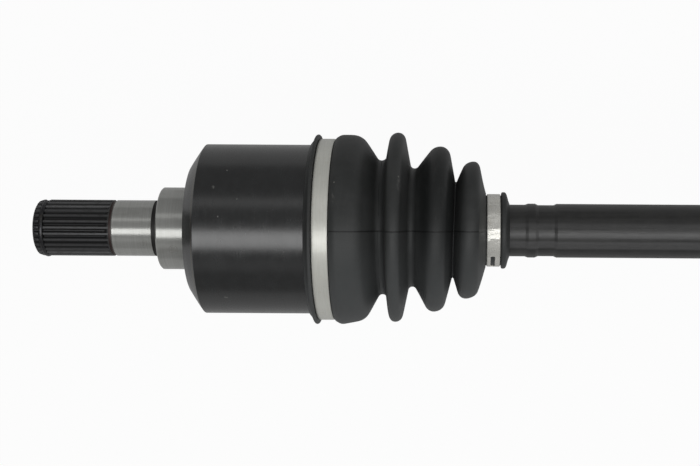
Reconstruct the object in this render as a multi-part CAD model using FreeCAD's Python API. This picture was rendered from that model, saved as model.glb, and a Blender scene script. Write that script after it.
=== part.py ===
"""Constant velocity drive shaft: a plunging tripod joint by the gearbox, a bar and a ball joint by the wheel.

The shaft's axis is X. The origin is on it, where the oil seal runs, and +X runs to the wheel.
Lengths are millimetres and angles degrees. Radii are measured from the axis of the piece that they belong to.
"""
import FreeCAD
import Part
import math
import os

from FreeCAD import Vector

# Clearances
seat_clearance = 0.05       # boot on its seat, clamp on its boot, ring in its groove
spline_clearance = 0.03     # on every side of a splined fit
needle_clearance = 0.02     # needle to trunnion, and needle to roller
cage_clearance = 0.10       # cage to either race, and ball to its window
track_clearance = 0.10      # ball to the bottom of its track
stack_clearance = 0.05      # between pieces side by side on a shaft or trunnion
cup_clearance = 0.30        # cup to the bar's tip
land_margin = 0.30          # the pieces inside a roller to its bore

# The two joints, and the bend that the tripod's tracks have room for
tripod_x = 47.0
joint_spacing = 370.0
inboard_bend = 15.0

# Stub in the gearbox
seal_journal_radius = 19.6
seal_journal_reach = 5.7    # origin to its end by the gearbox
seal_journal_length = 12.9
seal_journal_chamfer = 0.6
shoulder_radius = 14.4
shoulder_length = 1.1
pilot_radius = 13.35
pilot_length = 19.0
pilot_chamfer = 0.5
pilot_relief_width = 2.2
pilot_relief_depth = 0.45
stub_relief_width = 1.2
stub_relief_depth = 0.6
stub_spline_length = 36.0
stub_spline_radius = 13.4
stub_spline_depth = 1.15
stub_spline_teeth = 28
stub_run_out = 1.8
nose_length = 2.4
nose_round_radius = 12.8
nose_face_radius = 11.5
stub_circlip_from_end = 4.3
stub_circlip_wire = 2.1
stub_circlip_proud = 0.45   # how far the ring stands out of the splines

# Tripod housing
housing_radius = 40.4
back_step_height = 3.3      # flat step round the seal journal
back_slope_drop = 9.4       # below the housing's radius
back_slope_length = 1.6
back_round_drop = 5.7
back_round_length = 4.0
back_edge_drop = 1.5
back_edge_length = 6.9
back_length = 8.0           # seal journal to the full radius
housing_mouth = 81.0
mouth_chamfer = 0.8
cavity_back = 15.4
land_radius = 24.0
flare_length = 10.0
flare_depth = 3.5
spring_pocket_radius = 10.5
spring_pocket_bottom = 2.5

# Spider, rollers and needles
trunnion_count = 3
roller_pitch_radius = 25.0
roller_radius = 14.5
roller_width = 12.0
roller_bore_chamfer = 0.5
trunnion_radius = 7.5
trunnion_chamfer = 0.4
needle_diameter = 2.0
needle_length = 9.0
needle_count = 26
washer_thickness = 0.9
snap_ring_thickness = 1.1
snap_ring_depth = 0.6       # its groove, below the trunnion's surface
snap_ring_proud = 1.5
snap_ring_gap = 50.0        # degrees
trunnion_end_land = 0.5
spider_radius = 16.5
spider_length = 23.0
spider_chamfer = 1.2
track_side_play = 1.1       # a roller to the wall of its track, taken up as the joint bends
track_top_play = 0.5        # a roller to the ceiling of its track at full bend

# Spring and cup that push the bar outwards
tip_reach = 17.0            # tripod centre to the end of the bar's round tip
tip_radius = 6.0
tip_length = 2.6
cup_pad_radius = 5.0
cup_pad_length = 2.6
cup_flange_radius = 8.5
cup_flange_length = 2.0
cup_spigot_radius = 5.2
cup_spigot_length = 4.5
spring_wire = 1.8
spring_radius = 7.2         # to the middle of the wire
spring_turns = 5.5

# Bar
bar_radius = 12.9
boot_seat_radius = 12.4
groove_radius = 12.25
groove_length = 8.9
seat_ring_radius = 12.95
seat_ring_width = 3.3
seat_ring_offset = 20.15    # start of the small clamp's seat to the ring
bar_step = 1.5              # length of each step in the bar's radius
neck_radius = 11.0
neck_cone = 8.0
inboard_neck_end = 54.0     # from the tripod centre
outboard_neck_end = 47.0    # from the ball joint's centre
inboard_end_radius = 12.0
inboard_end_depth = 1.0
inboard_end_teeth = 24
outboard_end_radius = 10.7
outboard_end_depth = 0.9
outboard_end_teeth = 22
end_chamfer = 0.8
end_run_out = 1.5
ring_wire = 1.6
ring_proud = 0.5            # how far a ring stands out of the bar's splines
ring_gap = 40.0             # degrees
spline_overrun = 2.5        # splines past the inner ring of the piece that they carry

# Ball joint
ball_radius = 7.5
ball_pitch_radius = 30.0
ball_count = 6
ball_side_play = 0.95       # a ball's way across its track, taken up as the joint bends
ball_drift = 1.3            # degrees that four balls stand nearer the steering plane
cage_outer_rise = 3.2       # the cage's outside beyond the balls' centres
cage_inner_drop = 1.2       # its inside below them
cage_length = 24.0
window_length = 20.0
window_corner = 3.0
inner_race_length = 23.0

# Bell
bell_wall = 2.9             # beyond the balls, under the boot
bell_seat_step = 1.4        # the boot's seat below the barrel
bell_seat_length = 14.2
bell_mouth = 17.0           # ball joint centre to the mouth
bell_mouth_lip = 2.0        # the mouth's edge below the cage's outside
bell_barrel_end = 12.0
bell_dome_middle = 23.0
bell_dome_middle_drop = 4.4 # below the barrel
bell_dome_end = 30.5
bell_dome_drop = 13.3
bell_floor = 29.6
bell_shoulder = 36.0        # ball joint centre to the face on the wheel bearing
bell_shoulder_radius = 24.0
bell_shoulder_length = 3.5
track_mouth_angle = 50.0    # how far a track runs from the middle of the joint
track_floor_angle = 23.0
hub_pilot_radius = 14.0
hub_pilot_length = 11.0
hub_relief_width = 2.0
hub_relief_depth = 0.6
hub_relief_lead = 0.5       # the undercut's chamfer in the face that meets the wheel bearing
hub_spline_radius = 13.4
hub_spline_depth = 1.15
hub_spline_length = 34.0
hub_spline_teeth = 26
hub_run_out = 3.0
hub_chamfer = 1.0
thread_radius = 11.0
thread_length = 22.5
thread_pitch = 1.5
thread_depth = 0.9
thread_relief_width = 2.0

# Boots. Distances are from the joint's mouth towards the bar. A roll is a crest or a groove: its distance,
# its height over the joint's seat and how round it is.
inboard_sleeve_start = -15.8
outboard_sleeve_start = -13.7
sleeve_edge_wall = 1.3
sleeve_slope = 1.6
sleeve_slope_rise = 2.0
lip_height = 5.0            # over the joint's seat, as the next two are
lip_step = 0.5
lip_width = 1.5
clamp_seat_height = 2.0
clamp_seat_length = 8.1
roll_start_height = 3.8
boot_wall = 2.2
boot_stop_clearance = 0.3   # to the step inside the boot
boot_stop_length = 4.2
boot_stop_drop = 0.6        # below the joint's seat
boot_stop_round = 3.8
inboard_rolls = [
    (-0.6, 5.0, 4.0),
    (4.4, 4.4, 7.5),
    (17.6, -8.3, -2.4),
    (24.7, 5.0, 3.4),
    (32.6, -12.0, -2.1),
    (43.9, -0.7, 5.2),
    (52.1, -17.4, -0.4),
    (59.4, -7.4, 4.8),
]
outboard_rolls = [
    (1.5, 5.0, 4.0),
    (6.5, 4.4, 7.5),
    (19.5, -7.9, -2.0),
    (26.0, 2.1, 3.8),
    (32.6, -12.9, -2.0),
    (39.8, -4.9, 3.8),
    (45.6, -18.9, -1.0),
    (51.2, -12.4, 3.4),
]
drum_rolls = 2              # the first rolls, which are solid as far as the step inside the boot
inboard_small_seat = 67.2   # to the small clamp's seat
outboard_small_seat = 59.5
small_seat_height = 4.25    # over the bar's seat, as the next three are
small_shoulder_height = 5.6
small_lip_height = 5.85
small_mouth_height = 2.1
small_seat_length = 7.2
small_lip_width = 2.9
small_lip_flare = 1.2       # its foot beyond its edge
small_mouth_length = 2.2

# Clamps
clamp_margin = 0.4          # clamp to either end of its seat
large_clamp_thickness = 0.95
small_clamp_thickness = 0.75
ear_height = 3.2
ear_width = 5.5
ear_wall = 0.9
ear_angle = 130.0           # from the top

# Sizes that follow from the ones above
ball_x = tripod_x + joint_spacing
cage_outer_radius = ball_pitch_radius + cage_outer_rise
cage_inner_radius = ball_pitch_radius - cage_inner_drop
bell_seat_radius = ball_pitch_radius + ball_radius + bell_wall
bell_radius = bell_seat_radius + bell_seat_step
bell_mouth_radius = cage_outer_radius - bell_mouth_lip
small_seat_radius = boot_seat_radius + small_seat_height
small_lip_radius = boot_seat_radius + small_lip_height

AXIS = Vector(1, 0, 0)
ACROSS = Vector(0, 1, 0)
UP = Vector(0, 0, 1)
ORIGIN = Vector(0, 0, 0)


def save(name, shape):
    """Writes one piece to its own file."""
    shape.exportStep(f"parts/{name}.step")


def along(x, shape):
    """A copy of the shape, moved along the shaft."""
    copy = shape.copy()
    copy.translate(Vector(x, 0, 0))
    return copy


def turned(shape, angle, axis=AXIS):
    """A copy of the shape, turned about a line through the origin."""
    copy = shape.copy()
    copy.rotate(ORIGIN, axis, angle)
    return copy


def ring_of(shape, count):
    """Copies of the shape, evenly spaced round the shaft's axis."""
    return [turned(shape, index * 360.0 / count) for index in range(count)]


def on_circle(radius, x):
    """The height at x of a circle round the origin."""
    return math.sqrt(radius ** 2 - x ** 2)


def outline(*steps):
    """A face in the XY plane. A step is a point, reached by a line, or an arc's middle and end."""
    edges = []
    start = here = Vector(*steps[0], 0)
    for step in steps[1:]:
        if isinstance(step[0], tuple):
            middle = Vector(*step[0], 0)
            end = Vector(*step[1], 0)
            edges.append(Part.Arc(here, middle, end).toShape())
        else:
            end = Vector(*step, 0)
            edges.append(Part.makeLine(here, end))
        here = end
    if here.distanceToPoint(start) > 1e-7:
        edges.append(Part.makeLine(here, start))
    return Part.Face(Part.Wire(edges))


def lathe(*steps):
    """A turned solid: the outline, turned about the shaft's axis."""
    return outline(*steps).revolve(ORIGIN, AXIS, 360)


def tube(start, end, inner, outer):
    """A plain ring round the shaft's axis."""
    return lathe((start, inner), (end, inner), (end, outer), (start, outer))


def rod(start, end, radius):
    """A plain cylinder on the shaft's axis."""
    return Part.makeCylinder(radius, end - start, Vector(start, 0, 0), AXIS)


def wire_ring(x, outer, wire, gap):
    """A round wire ring, open by gap degrees."""
    section = Part.Face(Part.Wire(Part.makeCircle(wire / 2, Vector(x, outer - wire / 2, 0), UP)))
    return turned(section.revolve(ORIGIN, AXIS, 360 - gap), gap / 2)


def tooth_angles(teeth, radius, depth):
    """Half the angle of a tooth at its tip and at its root, with 30 degree flanks."""
    tip = 360.0 / teeth * 0.17
    lean = math.degrees(depth * math.tan(math.radians(30)) / radius)
    return tip, tip + lean


def tooth_space(start, end, run_out, teeth, radius, depth):
    """The cutter for one space between teeth, which rises out of the metal over run_out, past end."""
    root = radius - depth
    above = radius + depth
    low = root * math.radians(180.0 / teeth - tooth_angles(teeth, radius, depth)[1])
    high = low + (above - root) * (math.tan(math.radians(30)) + math.pi / teeth)
    section = Part.makePolygon([
        Vector(start, root, -low),
        Vector(start, above, -high),
        Vector(start, above, high),
        Vector(start, root, low),
        Vector(start, root, -low),
    ])
    whole = Part.Face(section).extrude(AXIS * (end - start + 2 * run_out))
    side = outline((start, root), (end, root), (end + 2 * run_out, above), (start, above))
    side.translate(UP * -high)
    return whole.common(side.extrude(UP * (2 * high)))


def cut_splines(shape, start, end, run_out, teeth, radius, depth):
    """The shape with the spaces of its splines cut."""
    space = turned(tooth_space(start, end, run_out, teeth, radius, depth), 180.0 / teeth)
    return shape.cut(ring_of(space, teeth))


def splined_bore(length, teeth, radius, depth):
    """The broach for a splined hole, centred on the origin."""
    tip_half, root_half = tooth_angles(teeth, radius, depth)
    spare = math.degrees(spline_clearance / radius)
    tip = radius + spline_clearance
    root = radius - depth + spline_clearance

    def at(r, angle):
        return Vector(-length, r * math.cos(math.radians(angle)), r * math.sin(math.radians(angle)))

    edges = []
    for index in range(teeth):
        middle = index * 360.0 / teeth
        left = at(tip, middle - tip_half - spare)
        right = at(tip, middle + tip_half + spare)
        foot = at(root, middle + root_half + spare)
        following = at(root, middle + 360.0 / teeth - root_half - spare)
        edges.append(Part.makeLine(at(root, middle - root_half - spare), left))
        edges.append(Part.Arc(left, at(tip, middle), right).toShape())
        edges.append(Part.makeLine(right, foot))
        edges.append(Part.Arc(foot, at(root, middle + 180.0 / teeth), following).toShape())
    return Part.Face(Part.Wire(edges)).extrude(AXIS * (2 * length))


def roller_track():
    """The room that one roller runs in, below the ceiling of its track."""
    half = roller_width / 2
    edge = on_circle(roller_radius, half)
    bend = math.radians(inboard_bend)
    rise = (roller_pitch_radius + half) * math.cos(bend) + edge * math.sin(bend)
    ceiling = math.hypot(rise, half) + track_top_play
    length = housing_mouth + 1 - cavity_back
    centre = Vector(cavity_back, 0, roller_pitch_radius)
    channel = Part.makeCylinder(roller_radius + track_side_play, length, centre, AXIS)
    return channel.common(rod(cavity_back, housing_mouth + 1, ceiling))


def make_inboard_housing():
    """The cup that the gearbox drives: a splined stub, two journals and a drum with three tracks inside."""
    seal_start = -seal_journal_reach
    seal_end = seal_start + seal_journal_length
    face = seal_start - seal_journal_chamfer
    relief_end = face - shoulder_length
    pilot_end = relief_end - pilot_relief_width
    pilot_start = pilot_end - pilot_length
    spline_end = pilot_start - stub_relief_width
    nose = spline_end - stub_spline_length
    ring_x = nose + stub_circlip_from_end
    half_groove = stub_circlip_wire / 2 + seat_clearance
    ring_outer = stub_spline_radius + stub_circlip_proud
    ring_bottom = ring_outer - stub_circlip_wire - seat_clearance
    body = lathe(
        (nose, 0),
        (nose, nose_face_radius),
        (nose + nose_length / 3, nose_round_radius),
        (nose + nose_length, stub_spline_radius),
        (ring_x - half_groove, stub_spline_radius),
        (ring_x - half_groove, ring_bottom),
        (ring_x + half_groove, ring_bottom),
        (ring_x + half_groove, stub_spline_radius),
        (spline_end, stub_spline_radius),
        (spline_end, stub_spline_radius - stub_relief_depth),
        (pilot_start, stub_spline_radius - stub_relief_depth),
        (pilot_start, pilot_radius - pilot_chamfer),
        (pilot_start + pilot_chamfer, pilot_radius),
        (pilot_end, pilot_radius),
        (pilot_end, pilot_radius - pilot_relief_depth),
        (relief_end, pilot_radius - pilot_relief_depth),
        (relief_end, shoulder_radius),
        (face, shoulder_radius),
        (face, seal_journal_radius - seal_journal_chamfer),
        (seal_start, seal_journal_radius),
        (seal_end, seal_journal_radius),
        (seal_end, seal_journal_radius + back_step_height),
        (seal_end + back_slope_length, housing_radius - back_slope_drop),
        (seal_end + back_round_length, housing_radius - back_round_drop),
        (seal_end + back_edge_length, housing_radius - back_edge_drop),
        (seal_end + back_length, housing_radius),
        (housing_mouth - mouth_chamfer, housing_radius),
        (housing_mouth, housing_radius - mouth_chamfer),
        (housing_mouth, land_radius + flare_depth),
        (housing_mouth - flare_length, land_radius),
        (cavity_back, land_radius),
        (cavity_back, spring_pocket_radius),
        (spring_pocket_bottom, spring_pocket_radius),
        (spring_pocket_bottom, 0),
    )
    body = body.cut(ring_of(roller_track(), trunnion_count))
    body = cut_splines(body, nose - 1, spline_end - stub_run_out, stub_run_out,
                       stub_spline_teeth, stub_spline_radius, stub_spline_depth)
    save("inboard_housing", body)
    save("stub_circlip", wire_ring(ring_x, ring_outer, stub_circlip_wire, ring_gap))


def on_trunnion(shape, index):
    """Stands a piece made along X on one of the spider's trunnions."""
    upright = turned(shape, -90, ACROSS)
    return along(tripod_x, turned(upright, index * 360.0 / trunnion_count))


def make_tripod():
    """The three-legged spider on the bar's inboard end, with a needle-borne roller on each leg."""
    half = roller_width / 2
    needle_radius = needle_diameter / 2
    needle_start = roller_pitch_radius - needle_length / 2
    needle_end = needle_start + needle_length
    needle_pitch_radius = trunnion_radius + needle_clearance + needle_radius
    roller_bore = needle_pitch_radius + needle_radius + needle_clearance
    washer_start = needle_end + stack_clearance
    washer_end = washer_start + washer_thickness
    ring_start = washer_end + stack_clearance
    ring_end = ring_start + snap_ring_thickness
    trunnion_end = ring_end + trunnion_end_land
    foot_radius = roller_bore - land_margin
    groove_bottom = trunnion_radius - snap_ring_depth
    half_spider = spider_length / 2
    hub = lathe(
        (-half_spider, 0),
        (-half_spider, spider_radius - spider_chamfer),
        (spider_chamfer - half_spider, spider_radius),
        (half_spider - spider_chamfer, spider_radius),
        (half_spider, spider_radius - spider_chamfer),
        (half_spider, 0),
    )
    leg = lathe(
        (0, 0),
        (0, foot_radius),
        (needle_start - stack_clearance, foot_radius),
        (needle_start - stack_clearance, trunnion_radius),
        (ring_start - stack_clearance / 2, trunnion_radius),
        (ring_start - stack_clearance / 2, groove_bottom),
        (ring_end + stack_clearance / 2, groove_bottom),
        (ring_end + stack_clearance / 2, trunnion_radius),
        (trunnion_end - trunnion_chamfer, trunnion_radius),
        (trunnion_end, trunnion_radius - trunnion_chamfer),
        (trunnion_end, 0),
    )
    bore = splined_bore(spider_length, inboard_end_teeth, inboard_end_radius, inboard_end_depth)
    spider = along(tripod_x, hub).fuse([on_trunnion(leg, index) for index in range(trunnion_count)])
    save("spider", spider.cut(along(tripod_x, bore)))

    edge = on_circle(roller_radius, half)
    roller = lathe(
        (-half, roller_bore + roller_bore_chamfer),
        (-half, edge),
        ((0, roller_radius), (half, edge)),
        (half, roller_bore + roller_bore_chamfer),
        (half - roller_bore_chamfer, roller_bore),
        (roller_bore_chamfer - half, roller_bore),
    )
    centre = Vector(needle_start, needle_pitch_radius, 0)
    needle = Part.makeCylinder(needle_radius, needle_length, centre, AXIS)
    snap_face = outline(
        (ring_start, groove_bottom + seat_clearance),
        (ring_end, groove_bottom + seat_clearance),
        (ring_end, trunnion_radius + snap_ring_proud),
        (ring_start, trunnion_radius + snap_ring_proud),
    )
    pieces = {
        "roller": along(roller_pitch_radius, roller),
        "needles": Part.makeCompound(ring_of(needle, needle_count)),
        "needle_washer": tube(washer_start, washer_end, trunnion_radius + seat_clearance, foot_radius),
        "roller_snap_ring": snap_face.revolve(ORIGIN, AXIS, 360 - snap_ring_gap),
    }
    for name, piece in pieces.items():
        for index in range(trunnion_count):
            save(f"{name}_{index + 1}", on_trunnion(piece, index))


def make_spring_and_cup():
    """The spring in the bottom of the housing, and the cup that it presses on the bar's round tip."""
    face = tripod_x - tip_reach - cup_clearance
    flange_end = face - cup_pad_length
    flange_start = flange_end - cup_flange_length
    cup = lathe(
        (face, 0),
        (face, cup_pad_radius),
        (flange_end, cup_pad_radius),
        (flange_end, cup_flange_radius),
        (flange_start, cup_flange_radius),
        (flange_start, cup_spigot_radius),
        (flange_start - cup_spigot_length, cup_spigot_radius),
        (flange_start - cup_spigot_length, 0),
    )
    save("spring_cup", cup)
    room = flange_start - spring_pocket_bottom - spring_wire - 2 * stack_clearance
    helix = Part.makeHelix(room / spring_turns, room, spring_radius)
    section = Part.Wire(Part.makeCircle(spring_wire / 2, Vector(spring_radius, 0, 0), ACROSS))
    coil = Part.Wire(helix.Edges).makePipeShell([section], True, True)
    coil = turned(coil, 90, ACROSS)
    save("plunge_spring", along(spring_pocket_bottom + spring_wire / 2 + stack_clearance, coil))


def ring_groove(piece_length, radius):
    """The groove for a wire ring beside a piece: its start, its end and its bottom."""
    start = piece_length / 2
    return start, start + ring_wire + 2 * stack_clearance, radius + ring_proud - ring_wire - seat_clearance


def bar_shoulders(neck_end, small_seat):
    """The bar from its neck, past the boot's seat and the ring beside it, to its full radius."""
    ring = small_seat + seat_ring_offset
    groove = ring + seat_ring_width
    return [
        (neck_end, neck_radius),
        (neck_end + neck_cone, boot_seat_radius),
        (ring - bar_step, boot_seat_radius),
        (ring, seat_ring_radius),
        (groove, seat_ring_radius),
        (groove + bar_step, groove_radius),
        (groove + groove_length, groove_radius),
        (groove + groove_length + bar_step, bar_radius),
    ]


def make_bar():
    """The bar, and the wire rings that hold the spider and the inner race on its splined ends."""
    near, far, bottom = ring_groove(spider_length, inboard_end_radius)
    overrun = far + spline_overrun
    tip_start = tip_length - tip_reach
    tip_centre = tip_radius - tip_reach
    tip_edge = on_circle(tip_radius, tip_start - tip_centre)
    tip_middle_x = tip_centre - tip_radius * math.cos(math.radians(20))
    tip_middle_radius = tip_radius * math.sin(math.radians(20))
    inboard_end = [
        (tip_start, inboard_end_radius - end_chamfer),
        (tip_start + end_chamfer, inboard_end_radius),
        (-far, inboard_end_radius),
        (-far, bottom),
        (-near, bottom),
        (-near, inboard_end_radius),
        (near, inboard_end_radius),
        (near, bottom),
        (far, bottom),
        (far, inboard_end_radius),
        (overrun, inboard_end_radius),
        (overrun + bar_step, neck_radius),
    ]
    inboard_seat = housing_mouth - tripod_x + inboard_small_seat
    left = [(tripod_x + x, r) for x, r in inboard_end + bar_shoulders(inboard_neck_end, inboard_seat)]
    tip = ((tripod_x + tip_middle_x, tip_middle_radius), (tripod_x + tip_start, tip_edge))
    out_near, out_far, out_bottom = ring_groove(inner_race_length, outboard_end_radius)
    out_overrun = out_far + spline_overrun
    bar_end = out_far + 2 * end_chamfer
    outboard_end = [
        (-bar_end, 0),
        (-bar_end, outboard_end_radius - end_chamfer),
        (end_chamfer - bar_end, outboard_end_radius),
        (-out_far, outboard_end_radius),
        (-out_far, out_bottom),
        (-out_near, out_bottom),
        (-out_near, outboard_end_radius),
        (out_near, outboard_end_radius),
        (out_near, out_bottom),
        (out_far, out_bottom),
        (out_far, outboard_end_radius),
        (out_overrun, outboard_end_radius),
        (out_overrun + bar_step, neck_radius),
    ]
    mirrored = outboard_end + bar_shoulders(outboard_neck_end, bell_mouth + outboard_small_seat)
    right = [(ball_x - x, r) for x, r in reversed(mirrored)]
    bar = lathe((tripod_x - tip_reach, 0), tip, *left, *right)
    bar = cut_splines(bar, tripod_x + tip_start - 1, tripod_x + overrun - end_run_out, end_run_out,
                      inboard_end_teeth, inboard_end_radius, inboard_end_depth)
    bar = turned(along(-ball_x, bar), 180, UP)
    bar = cut_splines(bar, -bar_end - 1, out_overrun - end_run_out, end_run_out,
                      outboard_end_teeth, outboard_end_radius, outboard_end_depth)
    save("drive_bar", along(ball_x, turned(bar, 180, UP)))

    middle = (near + far) / 2
    out_middle = (out_near + out_far) / 2
    inboard_outer = inboard_end_radius + ring_proud
    outboard_outer = outboard_end_radius + ring_proud
    save("spider_circlip", wire_ring(tripod_x - middle, inboard_outer, ring_wire, ring_gap))
    save("spider_stop_ring", wire_ring(tripod_x + middle, inboard_outer, ring_wire, ring_gap))
    save("race_circlip", wire_ring(ball_x + out_middle, outboard_outer, ring_wire, ring_gap))
    save("race_stop_ring", wire_ring(ball_x - out_middle, outboard_outer, ring_wire, ring_gap))


def ball_track(start, end):
    """The room for one ball, swept round the joint's centre between two angles, counted from +Y to -X."""
    radius = ball_radius + track_clearance
    inner = ball_pitch_radius - radius
    outer = ball_pitch_radius + radius
    face = outline(
        (-ball_side_play, inner),
        (ball_side_play, inner),
        ((ball_side_play + radius, ball_pitch_radius), (ball_side_play, outer)),
        (-ball_side_play, outer),
        ((-ball_side_play - radius, ball_pitch_radius), (-ball_side_play, inner)),
    )
    upright = turned(turned(face, 90, ACROSS), start, UP)
    return upright.revolve(ORIGIN, UP, end - start)


def make_ball_joint():
    """The inner race on the bar's outboard end, the cage round it and the balls in the cage's windows."""
    half_race = inner_race_length / 2
    race_radius = cage_inner_radius - cage_clearance
    race_edge = on_circle(race_radius, half_race)
    race = lathe(
        (-half_race, 0),
        (-half_race, race_edge),
        ((0, race_radius), (half_race, race_edge)),
        (half_race, 0),
    )
    race = race.cut(ring_of(ball_track(-track_mouth_angle, track_mouth_angle), ball_count))
    bore = splined_bore(inner_race_length, outboard_end_teeth, outboard_end_radius, outboard_end_depth)
    save("inner_race", along(ball_x, race.cut(bore)))

    half_cage = cage_length / 2
    outer_edge = on_circle(cage_outer_radius, half_cage)
    inner_edge = on_circle(cage_inner_radius, half_cage)
    cage = lathe(
        (-half_cage, inner_edge),
        ((0, cage_inner_radius), (half_cage, inner_edge)),
        (half_cage, outer_edge),
        ((0, cage_outer_radius), (-half_cage, outer_edge)),
    )
    half_window = ball_radius + cage_clearance
    corner = Vector(-half_window, ball_pitch_radius - ball_radius, -window_length / 2)
    window = Part.makeBox(2 * half_window, 2 * ball_radius, window_length, corner)
    corners = [edge for edge in window.Edges if edge.tangentAt(0).y ** 2 > 0.5]
    window = window.makeFillet(window_corner, corners)
    save("cage", along(ball_x, cage.cut(ring_of(window, ball_count))))

    ball = Part.makeSphere(ball_radius, Vector(0, ball_pitch_radius, 0))
    for index, placed in enumerate(ring_of(ball, ball_count)):
        swing = math.sin(math.radians(2 * index * 360.0 / ball_count)) / math.sin(math.radians(60))
        save(f"ball_{index + 1}", along(ball_x, turned(placed, -ball_drift * swing)))


def make_bell():
    """The bell that drives the wheel: six ball tracks inside, and a stub with seat, splines and thread."""
    inner_radius = cage_outer_radius + cage_clearance
    sphere_start = -on_circle(inner_radius, bell_mouth_radius)
    sphere_middle = inner_radius * math.sin(math.radians(45))
    seat_end = bell_seat_length - bell_mouth
    relief_end = bell_shoulder + hub_relief_width
    relief_radius = hub_pilot_radius - hub_relief_depth
    dome_middle = (bell_dome_middle, bell_radius - bell_dome_middle_drop)
    pilot_end = bell_shoulder + hub_pilot_length
    spline_end = pilot_end + hub_spline_length
    thread_start = spline_end + thread_relief_width
    root = thread_radius - thread_depth
    turns = int(thread_length / thread_pitch)
    thread_end = thread_start + turns * thread_pitch
    thread = [(thread_start, root)]
    for index in range(turns):
        start = thread_start + index * thread_pitch
        thread.append((start + thread_pitch / 2, thread_radius))
        thread.append((start + thread_pitch, root))
    body = lathe(
        (-bell_mouth, bell_mouth_radius),
        (-bell_mouth, bell_seat_radius - mouth_chamfer),
        (mouth_chamfer - bell_mouth, bell_seat_radius),
        (seat_end, bell_seat_radius),
        (seat_end + bell_seat_step, bell_radius),
        (bell_barrel_end, bell_radius),
        (dome_middle, (bell_dome_end, bell_radius - bell_dome_drop)),
        (bell_shoulder - bell_shoulder_length, bell_shoulder_radius),
        (bell_shoulder, bell_shoulder_radius),
        (bell_shoulder, hub_pilot_radius + hub_relief_lead),
        (bell_shoulder - hub_relief_lead, relief_radius),
        (relief_end, relief_radius),
        (relief_end, hub_pilot_radius),
        (pilot_end - hub_chamfer, hub_pilot_radius),
        (pilot_end, hub_spline_radius),
        (spline_end - hub_chamfer, hub_spline_radius),
        (spline_end, hub_spline_radius - hub_chamfer),
        (spline_end, root),
        *thread,
        (thread_end + hub_chamfer, root),
        (thread_end + hub_chamfer, 0),
        (bell_floor, 0),
        (bell_floor, on_circle(inner_radius, bell_floor)),
        ((sphere_middle, sphere_middle), (sphere_start, bell_mouth_radius)),
    )
    floor_end = Part.makeSphere(ball_radius + track_clearance, Vector(0, ball_pitch_radius, 0))
    floor_end = turned(floor_end, -track_floor_angle, UP)
    track = ball_track(-track_floor_angle, track_mouth_angle).fuse(floor_end)
    body = body.cut(ring_of(track, ball_count))
    body = turned(body, 180, UP)
    body = cut_splines(body, -spline_end - 1, -pilot_end - hub_run_out, hub_run_out,
                       hub_spline_teeth, hub_spline_radius, hub_spline_depth)
    save("outboard_bell", along(ball_x, turned(body, 180, UP)))


def rolled(rolls, seat_radius, offset=0.0):
    """Each roll's centre, and the radius of its rounding moved in by offset. A groove's radius is below 0."""
    return [(x, seat_radius + height - rounding, rounding - offset) for x, height, rounding in rolls]


def rounded_path(circles):
    """Lines and arcs from circle to circle, as steps of an outline.

    The path goes over a circle whose radius is above 0, under one below 0, and through the point of one at 0.
    """
    normals = []
    for (x, r, s), (next_x, next_r, next_s) in zip(circles, circles[1:]):
        length = math.hypot(next_x - x, next_r - r)
        heading = math.atan2(next_r - r, next_x - x) - math.asin((s - next_s) / length)
        normals.append(Vector(-math.sin(heading), math.cos(heading), 0))
    steps = [circles[0][:2]]
    for (x, r, s), before, after in zip(circles[1:-1], normals, normals[1:]):
        centre = Vector(x, r, 0)
        arrive = centre + before * s
        steps.append((arrive.x, arrive.y))
        if s:
            middle = centre + (before + after).normalize() * s
            leave = centre + after * s
            steps.append(((middle.x, middle.y), (leave.x, leave.y)))
    steps.append(circles[-1][:2])
    return steps


def backwards(steps):
    """The same path, from its end to its start."""
    points = [step[1] if isinstance(step[0], tuple) else step for step in steps]
    path = [points[-1]]
    for index in range(len(steps) - 1, 0, -1):
        if isinstance(steps[index][0], tuple):
            path.append((steps[index][0], points[index - 1]))
        else:
            path.append(points[index - 1])
    return path


def boot(start, seat_radius, rolls, small_seat):
    """A convoluted rubber boot on a joint whose mouth is at the origin, with its large end at start."""
    bore = seat_radius + seat_clearance
    small_bore = boot_seat_radius + seat_clearance
    edge = bore + sleeve_edge_wall
    slope_end = start + sleeve_slope
    lip = slope_end + lip_step
    clamp_seat = lip + lip_width
    clamp_seat_end = clamp_seat + clamp_seat_length
    clamp_seat_radius = seat_radius + clamp_seat_height
    lip_radius = seat_radius + lip_height
    small_end = small_seat + small_seat_length
    roll_start = (clamp_seat_end, seat_radius + roll_start_height, 0)
    roll_end = (small_seat, boot_seat_radius + small_shoulder_height, 0)
    outside = rounded_path([roll_start] + rolled(rolls, seat_radius) + [roll_end])
    stop_centre = boot_stop_clearance + boot_stop_length
    stop_circle = (stop_centre, seat_radius - boot_stop_drop - boot_stop_round, boot_stop_round)
    small_mouth = (small_seat - small_mouth_length, boot_seat_radius + small_mouth_height, 0)
    inner_rolls = rolled(rolls, seat_radius, boot_wall)[drum_rolls:]
    inside = rounded_path([(boot_stop_clearance, bore, 0), stop_circle] + inner_rolls + [small_mouth])
    return lathe(
        (start, bore),
        (start, edge),
        (slope_end, edge + sleeve_slope_rise),
        (lip, lip_radius),
        (clamp_seat, lip_radius),
        (clamp_seat, clamp_seat_radius),
        (clamp_seat_end, clamp_seat_radius),
        *outside,
        (small_seat, small_seat_radius),
        (small_end, small_seat_radius),
        (small_end, small_lip_radius),
        (small_end + small_lip_width, small_lip_radius),
        (small_end + small_lip_width + small_lip_flare, small_bore),
        (small_seat, small_bore),
        *backwards(inside),
    )


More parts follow.
